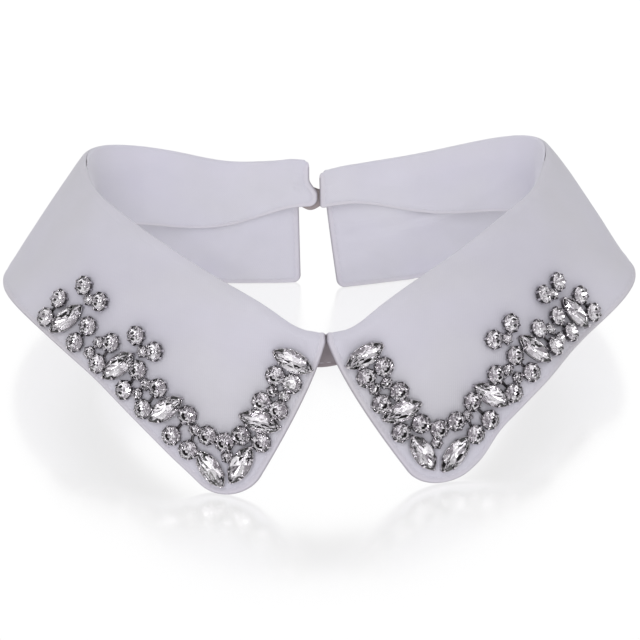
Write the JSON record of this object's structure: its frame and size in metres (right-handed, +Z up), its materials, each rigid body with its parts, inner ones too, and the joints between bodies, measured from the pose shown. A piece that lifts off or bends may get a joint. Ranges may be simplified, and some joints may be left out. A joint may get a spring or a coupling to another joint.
{
  "type": "detachable shirt collar",
  "caption": "Detachable pointed shirt collar with a neckband and clear crystal trim along both leaves, standing open at the back.",
  "frame": {"origin": "middle of the footprint, on the surface that the collar stands on", "axes": "+X across the collar, towards the right leaf as seen from the front; +Y from the front points to the back of the neck; +Z up"},
  "size_m": [0.2098, 0.1252, 0.0642],
  "materials": {
    "white_cotton": "plain woven cotton, matt",
    "grey_cotton": "plain woven cotton, matt",
    "clear_crystal": "cut clear crystal with a silvered back in dark metal claws"
  },
  "bodies": {
    "root": {"closure_tab": "grey_cotton", "crown_1_left": "clear_crystal", "crown_1_right": "clear_crystal", "crown_2_left": "clear_crystal", "crown_2_right": "clear_crystal", "edge_1_left": "clear_crystal", "edge_1_right": "clear_crystal", "edge_2_left": "clear_crystal", "edge_2_right": "clear_crystal", "edge_3_left": "clear_crystal", "edge_3_right": "clear_crystal", "edge_4_left": "clear_crystal", "edge_4_right": "clear_crystal", "leaf_left": "white_cotton", "leaf_right": "white_cotton", "navette_1_left": "clear_crystal", "navette_1_right": "clear_crystal", "navette_2_left": "clear_crystal", "navette_2_right": "clear_crystal", "navette_3_left": "clear_crystal", "navette_3_right": "clear_crystal", "navette_4_left": "clear_crystal", "navette_4_right": "clear_crystal", "navette_5_left": "clear_crystal", "navette_5_right": "clear_crystal", "navette_6_left": "clear_crystal", "navette_6_right": "clear_crystal", "navette_7_left": "clear_crystal", "navette_7_right": "clear_crystal", "set_10_left": "clear_crystal", "set_10_right": "clear_crystal", "set_1_left": "clear_crystal", "set_1_right": "clear_crystal", "set_2_left": "clear_crystal", "set_2_right": "clear_crystal", "set_3_left": "clear_crystal", "set_3_right": "clear_crystal", "set_4_left": "clear_crystal", "set_4_right": "clear_crystal", "set_5_left": "clear_crystal", "set_5_right": "clear_crystal", "set_6_left": "clear_crystal", "set_6_right": "clear_crystal", "set_7_left": "clear_crystal", "set_7_right": "clear_crystal", "set_8_left": "clear_crystal", "set_8_right": "clear_crystal", "set_9_left": "clear_crystal", "set_9_right": "clear_crystal", "stand": "white_cotton"}
  },
  "joints": []
}
